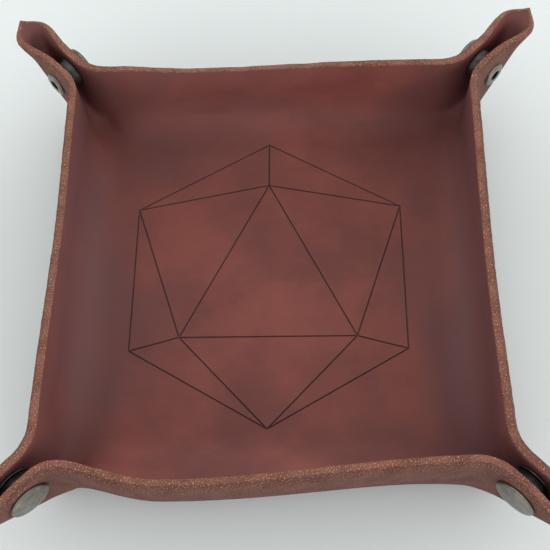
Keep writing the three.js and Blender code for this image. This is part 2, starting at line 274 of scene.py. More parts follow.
def make_skin_pattern():
    group, given, made = new_group("skin_pattern", {"Place": "Vector"}, ["Cloud", "PatchAndSheen", "Skin"])
    place = given.outputs["Place"]
    cloud = noise_pattern(group, place, scale=2.3, detail=6.0, roughness=0.58)
    rubbed = change_place(group, "MULTIPLY", place, (0.5, 4.0, 1.0))
    streak = noise_pattern(group, rubbed, scale=4.0, detail=6.0, roughness=0.65)
    uneven = calculate(group, "ADD", calculate(group, "MULTIPLY", streak, STREAKS), cloud)
    group.links.new(spread_between(group, uneven, 0.4, 0.74), made.inputs["Cloud"])
    moved = change_place(group, "ADD", place, (3.7, 1.9, 0.4))
    patch = noise_pattern(group, moved, scale=1.3, detail=3.0, distortion=0.4)
    across = change_place(group, "MULTIPLY", place, (1.0, 0.75, 0.0))
    outwards = add_node(group, "ShaderNodeVectorMath", {0: across}, operation="LENGTH").outputs["Value"]
    # The dye's patches, with a painted grey sheen that grows towards the outside of the hide.
    patch_and_sheen = calculate(group, "ADD", patch, spread_between(group, outwards, 0.15, 0.9, 0.0, SHEEN_OUTWARDS))
    group.links.new(spread_between(group, patch_and_sheen, 0.48, 0.8), made.inputs["PatchAndSheen"])
    cells = {"Vector": place, "Scale": 95.0}
    pores = add_node(group, "ShaderNodeTexVoronoi", cells, feature="DISTANCE_TO_EDGE").outputs["Distance"]
    pebble = spread_between(group, pores, 0.0, 0.35)
    crease = noise_pattern(group, place, scale=22.0, detail=6.0, roughness=0.6)
    skin = calculate(group, "ADD", calculate(group, "MULTIPLY", pebble, PEBBLES), crease)
    group.links.new(skin, made.inputs["Skin"])
    return group


skin_pattern = make_skin_pattern()
print("skin_pattern gives", [s.name for s in skin_pattern.interface.items_tree if s.in_out == "OUTPUT"])

# %% [markdown]
# ## Raw fibres
#
# Where the hide is cut or split there is no skin, only fibres: the suede outside of the tray and the cut
# edge round its rim. Pale fibre ends catch the light there as small flecks. Hairs could be grown on the
# mesh, but at this size they are finer than a picture shows. A group that gives a fleck mask and a nap
# height does it.

# %% Fibre pattern
NO_FLECKS = 0.78  # level of the tufts above which hardly any is left
FLECK_BLUR = 0.16  # how softly a fleck begins


def make_fibre_pattern():
    inputs = {"Place": "Vector", "Flecks": "Float"}
    group, given, made = new_group("fibre_pattern", inputs, ["Fleck", "Shade", "Nap"])
    place = given.outputs["Place"]
    tufts = noise_pattern(group, place, scale=190.0, detail=3.0, roughness=0.6)
    least = calculate(group, "SUBTRACT", NO_FLECKS, given.outputs["Flecks"])
    above = calculate(group, "SUBTRACT", tufts, least)
    group.links.new(spread_between(group, above, 0.0, FLECK_BLUR), made.inputs["Fleck"])
    shade = noise_pattern(group, place, scale=14.0, detail=4.0)
    group.links.new(spread_between(group, shade, 0.3, 0.7), made.inputs["Shade"])
    nap = noise_pattern(group, place, scale=120.0, detail=4.0, roughness=0.7)
    group.links.new(nap, made.inputs["Nap"])
    return group


fibre_pattern = make_fibre_pattern()
print("fibre_pattern gives", [s.name for s in fibre_pattern.interface.items_tree if s.in_out == "OUTPUT"])

# %% [markdown]
# ## Grain side: smooth dyed leather
#
# The inside of the tray is the grain side, dyed red-brown and lightly waxed. It is smooth with a soft
# sheen, its colour wanders between a warm red and a dull plum, and its pores are only just felt. One
# brown all over would look like plastic, so the group's clouds and patches mix three. Pores could be cut
# into the mesh, but at a tenth of a millimetre a bump shows them as well.

# %% Grain leather
FLAT_MAP = "flat_hide"


def flat_place(tree):
    return add_node(tree, "ShaderNodeUVMap", uv_map=FLAT_MAP).outputs["UV"]


def make_grain():
    material, tree, shader = new_material("grain_leather")
    pattern = use_group(tree, skin_pattern, {"Place": flat_place(tree)})
    warm = mix_colours(tree, pattern["Cloud"], linear(98, 54, 50), linear(120, 66, 58))
    # The plum is the dye's dull patches and, towards the outside of the hide, a painted grey sheen.
    colour = mix_colours(tree, pattern["PatchAndSheen"], warm, linear(92, 58, 57))
    tree.links.new(colour, shader.inputs["Base Color"])
    rough = spread_between(tree, pattern["Cloud"], 0.0, 1.0, to_low=0.52, to_high=0.62)
    tree.links.new(rough, shader.inputs["Roughness"])
    tree.links.new(bump(tree, pattern["Skin"], depth_mm=0.07), shader.inputs["Normal"])
    shader.inputs["Specular IOR Level"].default_value = 0.18
    return material


grain_leather = make_grain()
print("made", grain_leather.name)

# %% [markdown]
# ## Flesh side and cut edge
#
# The outside is the split side, left as suede: rough, without gloss, and duller than the grain. The cut
# edge round the rim shows the middle of the hide, where the dye has not gone so deep, so it is more
# orange. Towards the outside that edge has been pared, and there it is dark again but full of flecks. Its
# colour is also set a little darker than the suede's, as a painted shade on a strip that faces the light
# from above. The three could be one material with a mask. They are three small materials from one
# function, because each face of the mesh has only one of them.

# %% Suede and cut edge
def make_fibrous(name, dark, pale, fleck, flecks, nap_mm):
    material, tree, shader = new_material(name)
    pattern = use_group(tree, fibre_pattern, {"Place": flat_place(tree), "Flecks": flecks})
    ground = mix_colours(tree, pattern["Shade"], dark, pale)
    tree.links.new(mix_colours(tree, pattern["Fleck"], ground, fleck), shader.inputs["Base Color"])
    rough = spread_between(tree, pattern["Shade"], 0.0, 1.0, to_low=0.95, to_high=0.85)
    tree.links.new(rough, shader.inputs["Roughness"])
    tree.links.new(bump(tree, pattern["Nap"], nap_mm), shader.inputs["Normal"])
    shader.inputs["Specular IOR Level"].default_value = 0.15
    shader.inputs["Sheen Weight"].default_value = 0.02
    return material


suede = make_fibrous(
    "suede",
    dark=linear(85, 56, 50),
    pale=linear(98, 66, 59),
    fleck=linear(172, 122, 97),
    flecks=0.225,
    nap_mm=0.5,
)
cut_edge = make_fibrous(
    "cut_edge",
    dark=linear(94, 60, 51),
    pale=linear(114, 75, 63),
    fleck=linear(198, 142, 109),
    flecks=0.24,
    nap_mm=0.4,
)
# Painted shade: a little darker than the suede, against the light that falls on this strip from above.
pared_edge_painted_shade = make_fibrous(
    "pared_edge_painted_shade",
    dark=linear(80, 52, 46),
    pale=linear(95, 63, 55),
    fleck=linear(182, 128, 100),
    flecks=0.235,
    nap_mm=0.4,
)
print("made", suede.name, cut_edge.name, "and", pared_edge_painted_shade.name)

# %% [markdown]
# ## Burnt groove
#
# The figure in the floor is burnt in as a thin groove. Its walls are a dark, uneven brown and dull. The
# groove could be black, but its depth already darkens it, so its colour is only a few shades below the
# grain.

# %% Groove
def make_burnt():
    material, tree, shader = new_material("burnt_groove")
    pattern = use_group(tree, skin_pattern, {"Place": flat_place(tree)})
    colour = mix_colours(tree, pattern["Cloud"], linear(68, 41, 38), linear(84, 50, 46))
    tree.links.new(colour, shader.inputs["Base Color"])
    tree.links.new(bump(tree, pattern["Skin"], depth_mm=0.1), shader.inputs["Normal"])
    shader.inputs["Roughness"].default_value = 0.8
    return material


burnt_groove = make_burnt()
print("made", burnt_groove.name)

# %% [markdown]
# ## Plated metal
#
# The snaps are brass with an antique nickel plate: a dull, slightly olive grey with soft stains and fine
# scratches from use. The halves that sit inside a pinch are given a darker nickel, a painted shade for
# the shadow between the layers. The eye of a post is painted near black, a painted shade for its deep
# bore. The ring springs are bright steel wire. The wear could be painted on a map of each piece. A turned
# piece has no natural map, so one group makes stains and scratches by the place on the object, and each
# finish gives it its own colours.

# %% Metal finishes
def make_metal_wear():
    inputs = {"Place": "Vector", "Scale": "Float"}
    group, given, made = new_group("metal_wear", inputs, ["Stain", "Scratch"])
    scaled = {0: given.outputs["Place"], "Scale": given.outputs["Scale"]}
    place = add_node(group, "ShaderNodeVectorMath", scaled, operation="SCALE").outputs[0]
    stain = noise_pattern(group, place, scale=0.25, detail=5.0, roughness=0.6)
    group.links.new(spread_between(group, stain, 0.35, 0.65), made.inputs["Stain"])
    drawn = change_place(group, "MULTIPLY", place, (0.4, 2.6, 1.1))
    scratch = noise_pattern(group, drawn, scale=2.0, detail=6.0, roughness=0.7)
    group.links.new(scratch, made.inputs["Scratch"])
    return group


def make_metal(name, stained, clean, smoothest, roughest):
    material, tree, shader = new_material(name)
    place = add_node(tree, "ShaderNodeTexCoord").outputs["Object"]
    pattern = use_group(tree, metal_wear, {"Place": place, "Scale": 1 / MM})
    tree.links.new(mix_colours(tree, pattern["Stain"], stained, clean), shader.inputs["Base Color"])
    rough = spread_between(tree, pattern["Scratch"], 0.3, 0.7, smoothest, roughest)
    tree.links.new(rough, shader.inputs["Roughness"])
    tree.links.new(bump(tree, pattern["Scratch"], depth_mm=0.01), shader.inputs["Normal"])
    shader.inputs["Metallic"].default_value = 1.0
    return material


metal_wear = make_metal_wear()
nickel = {"stained": linear(120, 116, 106), "clean": linear(146, 143, 135)}
# Painted shade: a darker nickel for the sockets and studs, which sit in the shadow inside the pinches.
darker = {"stained": linear(66, 64, 60), "clean": linear(90, 88, 83)}
# Painted shade: near black for the eye of a post, whose bore is in shadow.
eye_shade_black = {"stained": linear(20, 19, 18), "clean": linear(32, 30, 28)}
steel = {"stained": linear(150, 149, 146), "clean": linear(175, 174, 172)}
antique_nickel = make_metal("antique_nickel", **nickel, smoothest=0.34, roughest=0.5)
nickel_painted_shade = make_metal("nickel_painted_shade", **darker, smoothest=0.3, roughest=0.45)
post_eye_painted_shade = make_metal("post_eye_painted_shade", **eye_shade_black, smoothest=0.6, roughest=0.8)
spring_wire = make_metal("spring_wire", **steel, smoothest=0.22, roughest=0.35)
print("made", [x.name for x in (antique_nickel, nickel_painted_shade, post_eye_painted_shade, spring_wire)])

# %% [markdown]
# ## The shape of the bent hide
#
# Every panel of the tray is a stretch of one bent sheet. Each panel could be modelled by hand and its
# edges fitted to its neighbours. Instead one formula says where a point of the flat hide goes: s runs
# along a wall, h runs up it from the fold line, and beyond the wall's end the hide turns into the pinched
# corner. Panels that are cut from the same formula meet exactly. The sizes are those of the solids, in
# millimetres.

# %% Sizes of the hide
HIDE_THICKNESS = 4.0
FLOOR_HALF = 81.0  # middle of the tray to a fold line
WALL_HEIGHT = 36.5  # fold line to cut edge at the corners, along the hide
RIM_SAG = 6.0  # how much hollower the cut edge is between the corners
LOWEST_RIM = WALL_HEIGHT - RIM_SAG
BEND_HALF = 7.0  # half the width of hide that takes part in a bend
SOFT_BEND_HALF = 20.0  # the same half way along a wall, where nothing creases the hide
LAYER_GAP = 5.0  # between the two layers of a pinch
TIP_OPENING = 15.0  # how far the layers spread at the tip
LEAF_START = 33.0  # from the foot of the corner to where they begin to spread
FOLD_EASE = 1.2  # how far the round bottom of the pinch eases into its sides, in half widths
LEAF_SPLAY = 0.2  # how much the layers lean apart beyond the snap
LEAF_LEAD = 3.0  # how far before LEAF_START they begin to lean
SPLAY_START = 2.0  # and how far from the fold
LEAF_CURL = 1.2  # how far their cut edge curls out
CURL_DEPTH = 4.0
BELLY_RISE = 8.0  # height at which a wall has bellied out
RISE_POWER = 4  # how late the flare and how sharply the belly begins on the way up
SOFT_POWER = 8  # how close to a corner the soft bend stays wide

# Each wall is shaped with its outside towards +Y and turned into place. Its rim flares outwards, most at
# its peak, and its foot may belly out there too.
WALLS = {
    "back": {"turn": 0.0, "flare": 3.2, "belly": 0.0, "peak": -33.0},
    "left": {"turn": math.pi / 2, "flare": 1.0, "belly": 0.0, "peak": 14.0},
    "front": {"turn": math.pi, "flare": -1.0, "belly": 7.5, "peak": 38.0},
    "right": {"turn": -math.pi / 2, "flare": 0.0, "belly": 0.0, "peak": 8.0},
}
print("hide is about", 2 * (FLOOR_HALF + WALL_HEIGHT), "mm square before it is bent")

# %% Rims and bends
ROOT2 = math.sqrt(2)


def soft_ramp(x, half):
    """Zero before a bend and x after it, with a smooth turn between."""
    return np.where(x > half, x, half * (np.clip(x / half, -1, 1) + 1) ** 2 / 4)


def smooth_step(x):
    share = np.clip(x, 0, 1)
    return share**2 * (3 - 2 * share)


def pinch_half(along):
    """Half the distance between the middles of a pinch's two layers, at a place along its fold."""
    closed = (LAYER_GAP + HIDE_THICKNESS) / 2
    share = (along - LEAF_START) / (ROOT2 * WALL_HEIGHT - LEAF_START)
    return closed + (TIP_OPENING / 2 - closed) * smooth_step(share)


def off_peak(s, wall, end):
    """Zero at the wall's peak and one at its ends."""
    peak = wall["peak"]
    return np.minimum(np.abs(s - peak) / (end - np.sign(s - peak) * peak), 1)


def between_corners(s, wall):
    return np.cos(off_peak(s, wall, FLOOR_HALF) * math.pi / 2) ** 2


def rim_height(s, wall):
    return WALL_HEIGHT - RIM_SAG * between_corners(s, wall)


def bend_half(s, wall):
    softness = (1 - off_peak(s, wall, FLOOR_HALF - BEND_HALF) ** SOFT_POWER) ** 2
    return BEND_HALF + (SOFT_BEND_HALF - BEND_HALF) * softness


back_peak = np.array(WALLS["back"]["peak"])
print("back rim at its peak:", round(float(rim_height(back_peak, WALLS["back"])), 1), "mm up the hide")

# %% Where a point of the flat hide goes
def layer_spread(past, h):
    """How far the middle of a layer is from the middle of its pinch."""
    along = (h + past) / ROOT2
    off = np.maximum(h - past, 0) / ROOT2
    half = pinch_half(along)
    leaf = smooth_step((along - LEAF_START + LEAF_LEAD) / (ROOT2 * WALL_HEIGHT - LEAF_START))
    curl = LEAF_CURL * np.exp((h - WALL_HEIGHT) / CURL_DEPTH) * np.tanh(off / half)
    return half * np.tanh(off / half) + leaf * (LEAF_SPLAY * np.maximum(off - SPLAY_START, 0) + curl)


def hide_point(s, h, wall):
    """Place of the middle of the hide, for a wall whose outside is towards +Y.

    Hide that has turned up leaves the level, and hide that has turned into the ear goes out along the
    corner's diagonal. Near the fold it eases round the bottom of the pinch, once it is above the bend."""
    side = np.where(s < 0, -1.0, 1.0)
    past = side * s - FLOOR_HALF
    along = (h + past) / ROOT2
    off = np.maximum(h - past, 0) / ROOT2
    ear = soft_ramp(past + ROOT2 * layer_spread(past, h), BEND_HALF)
    up = soft_ramp(h, bend_half(s, wall))
    rising = np.clip(along / ROOT2 / (2 * BEND_HALF) + 0.5, 0, 1)
    ease = rising * off * np.exp(-off / (FOLD_EASE * pinch_half(along)))
    outward = (ear + (1 - 1 / ROOT2) * ease) / ROOT2
    flare = wall["flare"] * (up / LOWEST_RIM) ** RISE_POWER
    belly = wall["belly"] * (1 - np.exp(-((up / BELLY_RISE) ** RISE_POWER)))
    x = side * (FLOOR_HALF + past - ear + outward)
    y = FLOOR_HALF + h - up + outward + (flare + belly) * between_corners(s, wall)
    z = HIDE_THICKNESS / 2 + up - ease / ROOT2
    return np.stack([x, y, z], -1)


def unit(vectors):
    return vectors / np.linalg.norm(vectors, axis=-1, keepdims=True)


def hide_frame(s, h, wall):
    """The middle of the hide at (s, h), the way out of its grain side, and the way up it."""
    step = 0.01
    side = np.where(s < 0, -1.0, 1.0)
    here = hide_point(s, h, wall)
    along = (here - hide_point(s - side * step, h, wall)) * side[..., None]
    up = hide_point(s, h + step, wall) - here
    return here, unit(np.cross(along, up)), unit(up)


def turn_line(h):
    """How far past the floor's corner (below zero: before it) a wall turns into its ear, at height h."""
    rounds = 60  # each comes closer to the middle of the turn
    past = np.zeros_like(h)
    for _ in range(rounds):
        past = -ROOT2 * layer_spread(past, h)
    return np.where(h > 0, past, 0)


print("a wall turns", round(float(-turn_line(np.array([20.0]))[0]), 2), "mm before the floor's corner")

# %% [markdown]
# ## From formula to panel
#
# A panel is a strip of hide with a thickness. Its cross-section runs up the grain side, over the rounded
# cut edge and down the flesh side. A flat sheet with a Solidify modifier would be quicker, but its cut
# edge would be a plain flat band. Sweeping the section along the panel gives the edge its own rounded
# faces, and lets the hide be thinned where the pinch folds. Normals come from the formula too, so that no
# seam shows between two panels.

# %% The cross-section
GRAIN_ROUND = (0.6, 0.6)  # how far the cut edge is rounded towards the grain side, up the hide and into it
FLESH_ROUND = (4.5, 1.6)  # and pared towards the flesh side
BEND_ROWS = 6
WALL_ROWS = 22
ROW_CROWDING = 1.4  # rows lie closer together at the foot of a wall
ARC_STEPS = 5

# A step round a panel: height up the hide, distance from its middle, tilt and finish of its surface, and
# the height at which the rounded edge begins on this side.
Step = namedtuple("Step", "level offset tilt finish top")
skin_rows = [(row / WALL_ROWS) ** ROW_CROWDING for row in range(WALL_ROWS + 1)]
bend_rows = [row / BEND_ROWS - 1 for row in range(BEND_ROWS)]


def cross_section(rows):
    """Steps round a panel. A row below zero is in the bend under the wall, and at 1 the edge begins."""

    def one_side(sign, rounding, skin_finish, edge_finish):
        tall, deep = rounding
        top = WALL_HEIGHT - tall
        half = HIDE_THICKNESS / 2
        levels = [row * (top if row > 0 else BEND_HALF) for row in rows]
        steps = [Step(level, sign * half, 0.0, skin_finish, top) for level in levels]
        for step in range(1, ARC_STEPS + 1):
            angle = math.pi / 2 * step / ARC_STEPS
            offset = half - deep * (1 - math.cos(angle))
            tilt = math.atan2(math.sin(angle) / tall, math.cos(angle) / deep)
            steps.append(Step(top + tall * math.sin(angle), sign * offset, tilt, edge_finish, top))
        return steps

    grain = one_side(1, GRAIN_ROUND, "grain", "edge")
    flesh = one_side(-1, FLESH_ROUND, "flesh", "pared")
    return grain + [step._replace(tilt=math.pi - step.tilt) for step in reversed(flesh)]


def per_step(section, name):
    """One value of every step, as a column."""
    return np.array([getattr(step, name) for step in section])[:, None]


def band_finish(section, step):
    """Finish of the band between a step and the next: the edge's own, up to where a skin begins."""
    here, after = section[step].finish, section[step + 1].finish
    if here == after or here == "grain":
        return after
    return "edge" if after == "pared" else here


print("a wall's section has", len(cross_section(bend_rows + skin_rows)), "steps")

# %% [markdown]
# The cut edge of a hand-cut hide wanders by a few tenths of a millimetre. It could be made uneven by a
# Displace modifier, but that would also move the seams. A little noise on the height of the rim does it.
# It fades out past the end of a wall, before the fold where two walls meet. On the flesh side, the bottom
# of the pinch is thinned, as a maker pares the leather so that it folds. The flat map runs up the grain
# side, on round the cut edge and down the flesh side, so that no pattern is stretched there.

# %% Lay out a stretch of hide
RIM_WANDER = 0.3
WANDER_WIDTH = 9.0
WANDER_FADE = 10.0  # past the end of a wall
RIM_FUZZ = 0.16
FUZZ_WIDTH = 1.7
FUZZ_LEAD = 1.0  # how far below the rounded edge the fuzz begins
FOLD_THINNING = 0.45
FOLD_REACH = 4.0
TIP_THINNING = 0.5
THINNING_START = 26.0  # from the foot of the corner
WALLS_APART = 50  # between the stretches of noise that the walls take


def strays(s, width, wall):
    """A smooth random value along a wall that comes back after about this width."""
    start = WALLS_APART * (1 + list(WALLS.values()).index(wall))
    return np.array([noise.noise(Vector((x / width, start, width))) for x in s.ravel()]).reshape(s.shape)


def wander(s, past, wall):
    """How far the cut edge strays from its line; not at all in a corner's fold, where two walls meet."""
    return RIM_WANDER * strays(s, WANDER_WIDTH, wall) * np.clip(1 - past / WANDER_FADE, 0, 1)


def turned(points, angle):
    cos, sin = math.cos(angle), math.sin(angle)
    x, y = points[..., 0], points[..., 1]
    rest = [points[..., i] for i in range(2, points.shape[-1])]
    return np.stack([cos * x - sin * y, sin * x + cos * y, *rest], -1)


def lay_out(s, section, wall):
    """Places, outward directions and flat places of a stretch of hide: one row per step of the section."""
    level, offset, tilt, top = [per_step(section, name) for name in ("level", "offset", "tilt", "top")]
    past = np.abs(s) - FLOOR_HALF
    rim = rim_height(s, wall) + wander(s, past, wall)
    skin = level * (rim - WALL_HEIGHT + top) / top
    h = np.where(level < 0, level, np.where(level <= top, skin, level - WALL_HEIGHT + rim))
    past = np.minimum(past, h)
    s = np.sign(s) * (FLOOR_HALF + past)
    middle, out, up = hide_frame(s, h, wall)
    off = np.maximum(h - past, 0) / ROOT2
    near_fold = np.exp(-((off / FOLD_REACH) ** 2)) * np.clip(h / FOLD_REACH, 0, 1)
    near_tip = smooth_step(((h + past) / ROOT2 - THINNING_START) / (ROOT2 * WALL_HEIGHT - THINNING_START))
    thinned = offset * (1 - np.maximum(FOLD_THINNING * near_fold, TIP_THINNING * near_tip))
    fuzzy = np.clip((level - top + FUZZ_LEAD) / (2 * FUZZ_LEAD), 0, 1)
    fuzz = RIM_FUZZ * strays(s, FUZZ_WIDTH, wall) * fuzzy
    depth = np.where(offset < 0, thinned + fuzz, offset)
    place = middle + out * depth[..., None]
    facing = unit(out * np.cos(tilt)[..., None] + up * np.sin(tilt)[..., None])
    around = np.hypot(np.diff(level, axis=0), np.diff(offset, axis=0)).cumsum(0)
    around = FLOOR_HALF + level[0] + np.concatenate([np.zeros((1, 1)), around])
    shift = np.where(offset < 0, 2 * (rim - WALL_HEIGHT) - (h - level), h - level)
    flat = np.stack([s, around + shift], -1)
    return [turned(part, wall["turn"]) for part in (place, facing, flat)]


print("the rim wanders by up to", RIM_WANDER, "mm, and its flesh side by", RIM_FUZZ, "mm")

# %% [markdown]
# The next helper collects faces for one closed mesh. Points that fall together, as at the foot of a
# corner, become one. A modifier could merge them and Blender could work out the normals, but then two
# panels would shade differently along their seam. Here each face is wound so that it faces out, and each
# of its corners keeps the normal that the formula gave.

# %% Collect faces
FINISHES = {"grain": 0, "edge": 1, "flesh": 2, "pared": 3}
FLAT_UNIT = 100.0  # millimetres of hide to one unit of the flat map
SAME_PLACE = 4  # decimals of a millimetre in which points that are one agree


class Surface:
    """Collects faces, with a finish, normals and flat places for their corners."""

    def __init__(self):
        self.points = []
        self.index = {}
        self.faces = []
        self.finishes = []
        self.normals = []
        self.flats = []

    def point(self, place):
        key = tuple(np.round(place, SAME_PLACE))
        if key not in self.index:
            self.index[key] = len(self.points)
            self.points.append(Vector(place) * MM)
        return self.index[key]

    def face(self, corners, outward, finish):
        """Corners are (place, facing, flat place); a corner with no facing gets the face's own normal."""
        kept = {}
        for place, facing, flat in corners:
            kept.setdefault(self.point(place), (facing, flat))
        if len(kept) < 3:
            return
        around = list(kept)
        places = [self.points[number] for number in around]
        normal = sum((places[k - 1].cross(places[k]) for k in range(len(places))), Vector((0, 0, 0)))
        if normal.dot(Vector(outward)) < 0:
            around.reverse()
            normal.negate()
        normal.normalize()
        self.faces.append(around)
        self.finishes.append(finish)
        for facing, flat in (kept[number] for number in around):
            self.normals.append(normal if facing is None else Vector(facing))
            self.flats.append(flat)

    def build(self, name, materials):
        mesh = bpy.data.meshes.new(name)
        mesh.from_pydata(self.points, [], self.faces)
        flat_map = mesh.uv_layers.new(name=FLAT_MAP)
        flat_map.data.foreach_set("uv", np.array(self.flats, dtype=np.float32).ravel() / FLAT_UNIT)
        for material in materials:
            mesh.materials.append(material)
        mesh.polygons.foreach_set("material_index", self.finishes)
        mesh.polygons.foreach_set("use_smooth", [True] * len(self.faces))
        mesh.normals_split_custom_set(self.normals)
        mesh.update()
        piece = bpy.data.objects.new(name, mesh)
        bpy.context.scene.collection.objects.link(piece)
        return piece


print("finishes of the hide:", list(FINISHES))

# %% [markdown]
# A panel is built from rows and columns of points: one row per step of the section, one column per place
# along the wall. Its foot and its two ends are closed by the cut faces that meet the next panel. They
# could stay open, since they hardly show, but a closed mesh is one that other tools can use as a solid.

# %% Build a panel
HIDE_FINISHES = [grain_leather, cut_edge, suede, pared_edge_painted_shade]


def build_panel(name, section, place, facing, flat):
    surface = Surface()
    steps, columns = place.shape[:2]

    def corner(step, column, with_normal=True):
        return place[step, column], facing[step, column] if with_normal else None, flat[step, column]

    for step in range(steps - 1):
        finish = band_finish(section, step)
        for column in range(columns - 1):
            outward = facing[step, column] + facing[step + 1, column + 1]
            around = [(step, column), (step, column + 1), (step + 1, column + 1), (step + 1, column)]
            surface.face([corner(*at) for at in around], outward, FINISHES[finish])
    for column in range(columns - 1):
        outward = place[0, column] - place[1, column]
        around = [(0, column), (0, column + 1), (steps - 1, column + 1), (steps - 1, column)]
        surface.face([corner(*at, False) for at in around], outward, FINISHES["edge"])
    for end, inner in ((0, 1), (columns - 1, columns - 2)):
        for step in range(steps // 2 - 1):
            facing_step = steps - 1 - step
            outward = place[step + 1, end] - place[step + 1, inner]
            around = [(step, end), (step + 1, end), (facing_step - 1, end), (facing_step, end)]
            surface.face([corner(*at, False) for at in around], outward, FINISHES["edge"])
    return surface.build(name, HIDE_FINISHES)


def flat_area(piece):
    """Area and sides of the piece's grain side on the flat hide, in metres."""
    mesh = piece.data
    flats = np.array([loop.uv[:] for loop in mesh.uv_layers[FLAT_MAP].data]) * FLAT_UNIT * MM
    area = 0.0
    used = []
    for polygon in mesh.polygons:
        if polygon.material_index == FINISHES["grain"]:
            corners = flats[list(polygon.loop_indices)]
            x, y = corners[:, 0], corners[:, 1]
            area += abs(np.dot(x, np.roll(y, -1)) - np.dot(y, np.roll(x, -1))) / 2
            used.append(corners)
    used = np.concatenate(used)
    return area, used.max(0) - used.min(0)


print("a panel takes the finishes", [material.name for material in HIDE_FINISHES])

# %% [markdown]
# ## The four walls
#
# A wall starts where the floor begins to bend, takes in the rest of the soft bend, and ends where it
# turns into the corners. The bend could belong to the floor's piece, but here each wall has its own share
# of it. The bend could belong to the floor's piece, but then one piece would have four blends.

# %% Walls
WALL_COLUMNS = 120
SQUARE_CM = 1e-4


def declare_hide(piece, node):
    area, sides = flat_area(piece)
    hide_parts(node)
    sides_mm = [round(float(x) / MM, 1) for x in sides]
    print(piece.name, "flat", sides_mm, "mm, area", round(area / SQUARE_CM, 1), "cm2")


def make_wall(name, wall):
    section = cross_section(bend_rows + skin_rows)
    level = per_step(section, "level")
    end = FLOOR_HALF + np.where(level < 0, level, turn_line(level))
    s = end * np.linspace(-1, 1, WALL_COLUMNS + 1)[None, :]
    piece = build_panel(f"wall_{name}_leather", section, *lay_out(s, section, wall))
    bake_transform(piece)
    declare_hide(piece, f"wall_{name}")


for wall_name, wall_shape in WALLS.items():
    make_wall(wall_name, wall_shape)

# %% [markdown]
# ## The pinched corners
#
# At a corner the hide is folded into two layers, like a dart in cloth. One layer, with the cap, belongs
# to the front or back wall and the other, with the post, to the side wall. The two could be one piece,
# but a piece can blend only two bodies, and three move here: the wall, the cap's half and the post's
# half. They are two pieces, and the fold between the layers is part of the post's.

# %% Ears
EAR_COLUMNS = 20
FOLD_COLUMNS = 10
FOLD_SHARE = 14.0  # how far the post's piece reaches round the fold, along the hide
FOLD_CROWDING = 1.5  # columns lie closer together towards the fold

CORNERS = {
    "back_right": {"x": 1, "y": 1, "cap": ("back", 1), "post": ("right", -1)},
    "back_left": {"x": -1, "y": 1, "cap": ("back", -1), "post": ("left", 1)},
    "front_left": {"x": -1, "y": -1, "cap": ("front", 1), "post": ("left", -1)},
    "front_right": {"x": 1, "y": -1, "cap": ("front", -1), "post": ("right", 1)},
}
ear_section = cross_section(skin_rows)
ear_level = per_step(ear_section, "level")
ear_turn = turn_line(ear_level)
fold_start = ear_level - FOLD_SHARE * (1 - np.exp(-ear_level / FOLD_SHARE))


def make_cap_ear(corner_name, corner):
    wall_name, side = corner["cap"]
    wall = WALLS[wall_name]
    share = np.linspace(0, 1, EAR_COLUMNS + 1)[None, :]
    s = side * (FLOOR_HALF + ear_turn + share * (fold_start - ear_turn))
    piece = build_panel(f"cap_ear_{corner_name}_leather", ear_section, *lay_out(s, ear_section, wall))
    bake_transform(piece)
    declare_hide(piece, f"cap_ear_{corner_name}")


def make_post_ear(corner_name, corner):
    wall_name, side = corner["post"]
    share = 1 - (1 - np.linspace(0, 1, EAR_COLUMNS + 1)[None, :]) ** FOLD_CROWDING
    s = side * (FLOOR_HALF + ear_turn + share * (ear_level - ear_turn))
    layer = lay_out(s, ear_section, WALLS[wall_name])
    cap_wall_name, cap_side = corner["cap"]
    share = np.linspace(0, 1, FOLD_COLUMNS + 1)[None, 1:]
    s = cap_side * (FLOOR_HALF + ear_level + share * (fold_start - ear_level))
    fold = lay_out(s, ear_section, WALLS[cap_wall_name])
    joined = [np.concatenate([a, b], 1) for a, b in zip(layer, fold)]
    piece = build_panel(f"post_ear_{corner_name}_leather", ear_section, *joined)
    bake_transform(piece)
    declare_hide(piece, f"post_ear_{corner_name}")


for corner_name, corner in CORNERS.items():
    make_cap_ear(corner_name, corner)
    make_post_ear(corner_name, corner)

# %% [markdown]
# ## The floor and its figure
#
# The flat floor carries a line drawing of an icosahedron, burnt in as fine grooves. The lines could be a
# pattern in the material, but a groove has a dark side and a lit side that move with the light, so it is
# cut into the mesh. The figure is ten triangles. Each is drawn twice, a little smaller at the surface
# than at the bottom of the groove, and a constrained triangulation joins all these outlines into one
# surface.

# %% Outlines of the figure
FIGURE_RADIUS = 63.0
FIGURE_PLACE = Vector((-2.4, 2.0))
INNER_TOP = 42.5
INNER_BASE = -26.0
INNER_HALF = 35.0
LINE_WIDTH = 0.65
LINE_DEPTH = 0.5
GROOVE_FLOOR = 0.2  # width of a groove at its bottom

outer_angles = [math.pi / 2 + step * math.pi / 3 for step in range(6)]
outer = [Vector((math.cos(angle), math.sin(angle))) * FIGURE_RADIUS for angle in outer_angles]
inner = [Vector((0, INNER_TOP)), Vector((-INNER_HALF, INNER_BASE)), Vector((INNER_HALF, INNER_BASE))]


def figure_faces():
    """The ten triangles: the middle one, three on its edges, and two at each of its corners."""
    faces = [list(inner)]
    for k in range(3):
        after = (k + 1) % 3
        faces.append([inner[k], inner[after], outer[2 * k + 1]])
        faces.append([inner[k], outer[2 * k], outer[2 * k + 1]])
        faces.append([inner[k], outer[2 * k], outer[2 * k - 1]])
    return faces


def shrunk(triangle, by):
    """The triangle with each side moved inwards."""
    a, b, c = triangle
    sides = [(b - c).length, (c - a).length, (a - b).length]
    middle = sum((side * point for side, point in zip(sides, triangle)), Vector((0, 0))) / sum(sides)
    inradius = abs((b - a).cross(c - a)) / sum(sides)
    return [middle + (point - middle) * (1 - by / inradius) for point in triangle]


